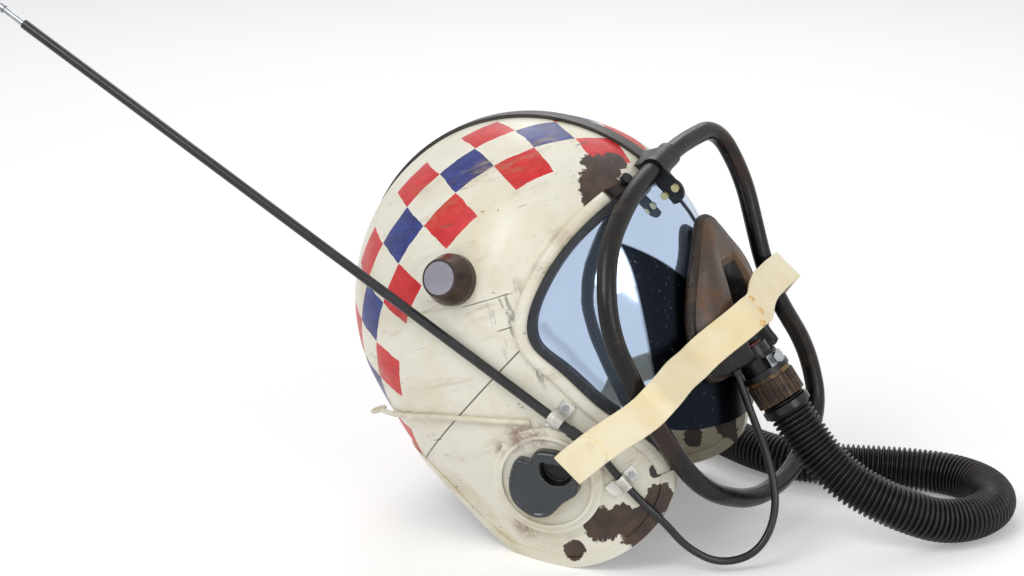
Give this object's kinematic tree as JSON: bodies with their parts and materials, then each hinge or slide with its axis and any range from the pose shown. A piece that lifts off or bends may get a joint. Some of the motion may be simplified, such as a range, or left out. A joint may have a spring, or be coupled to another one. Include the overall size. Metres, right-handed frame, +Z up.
{
  "type": "pilot flight helmet",
  "caption": "Open-dome flight helmet leaning on its cheek edge, with guard ring, mirror visor, strapped oxygen mask, ribbed hose, ear bosses, side knob and telescopic antenna.",
  "frame": {"origin": "middle of the dome, the head's seat, with the helmet in the attitude in which it rests on a table", "axes": "+X level and forward, out of the visor; +Y level, to the wearer's left; +Z straight up. The helmet itself is leaned back 22 degrees about Y, so its own crown line points up and back"},
  "size_m": [0.6632, 0.3369, 0.3538],
  "materials": {
    "shell_paint": "satin",
    "black_rubber": "matte",
    "visor_mirror": "polished",
    "black_paint": "satin",
    "dark_steel": "satin",
    "brass": "satin",
    "steel": "satin",
    "bare_aluminium": "satin",
    "antenna_black": "satin",
    "antenna_steel": "satin",
    "receiver_slate": "gloss",
    "webbing": "matte",
    "knob_plastic": "satin",
    "wire_white": "satin",
    "liner_foam": "matte",
    "pad_leather": "matte",
    "earphone_plastic": "matte",
    "mask_bronze": "satin",
    "valve_rubber": "matte",
    "valve_plastic": "matte",
    "hose_rubber": "matte"
  },
  "bodies": {
    "helmet": {"crown_shell": "shell_paint", "cheek_shell_right": "shell_paint", "cheek_shell_left": "shell_paint", "face_rim_right": "shell_paint", "face_rim_left": "shell_paint", "ear_boss_right": "shell_paint", "ear_boss_left": "shell_paint", "edge_seal": "black_rubber", "lower_edging": "black_rubber", "crown_strip": "black_rubber", "mask_facepiece": "black_rubber", "plug_seal": "black_rubber", "visor": "visor_mirror", "brow_bar": "black_paint", "guard_ring": "black_paint", "ring_clamp": "black_paint", "brow_bolts": "dark_steel", "valve_housing": "dark_steel", "hose_tail": "dark_steel", "hose_clamp": "dark_steel", "hose_plug": "dark_steel", "clamp_rivets": "brass", "strap_studs": "brass", "outlet_band": "brass", "outlet_block": "steel", "block_bolt": "steel", "knob_nut": "steel", "clip_screws": "steel", "antenna_clip_upper": "bare_aluminium", "antenna_clip_lower": "bare_aluminium", "antenna_tube": "antenna_black", "antenna_ferrule": "antenna_black", "receiver_right": "receiver_slate", "receiver_left": "receiver_slate", "mask_strap": "webbing", "strap_end_tab": "webbing", "knob_base": "knob_plastic", "tie_wire": "wire_white", "foam_liner": "liner_foam", "crown_pad": "pad_leather", "brow_pad": "pad_leather", "nape_pad": "pad_leather", "ear_cup_right": "pad_leather", "ear_cup_left": "pad_leather", "earphone_right": "earphone_plastic", "earphone_left": "earphone_plastic", "microphone": "earphone_plastic", "mic_gland": "earphone_plastic", "mask_shell": "mask_bronze", "exhale_seat": "valve_plastic", "hose": "hose_rubber", "mic_cable": "hose_rubber"},
    "knob": {"knob": "knob_plastic", "knob_cap": "knob_plastic", "knob_shaft": "steel"},
    "antenna_rod": {"antenna_rod": "antenna_steel"},
    "union_nut": {"union_nut": "dark_steel"},
    "inhale_valve": {"inhale_valve": "valve_rubber"},
    "exhale_valve": {"exhale_valve": "valve_rubber"}
  },
  "joints": [
    {"name": "knob_turn", "type": "hinge", "parent": "helmet", "child": "knob", "pos_m": [-0.01717, -0.10875, 0.04111], "axis": [-0.1173, -0.944, 0.3084], "range_deg": [-135, 135]},
    {"name": "antenna_slide", "type": "slide", "parent": "helmet", "child": "antenna_rod", "axis": [-0.8541, -0.0126, 0.52], "range_m": [-0.014, 0.17]},
    {"name": "union_turn", "type": "hinge", "parent": "helmet", "child": "union_nut", "pos_m": [0.16588, 0, -0.03684], "axis": [0.5707, 0, -0.8211], "range_deg": [-180, 180]},
    {"name": "inhale_lift", "type": "slide", "parent": "helmet", "child": "inhale_valve", "axis": [-0.5707, 0, 0.8211], "range_m": [0, 0.0015], "stiffness_N_per_m": 20, "springref_m": -0.0005},
    {"name": "exhale_lift", "type": "slide", "parent": "helmet", "child": "exhale_valve", "axis": [0.6321, 0.7316, 0.2554], "range_m": [0, 0.0015], "stiffness_N_per_m": 20, "springref_m": -0.0005}
  ]
}
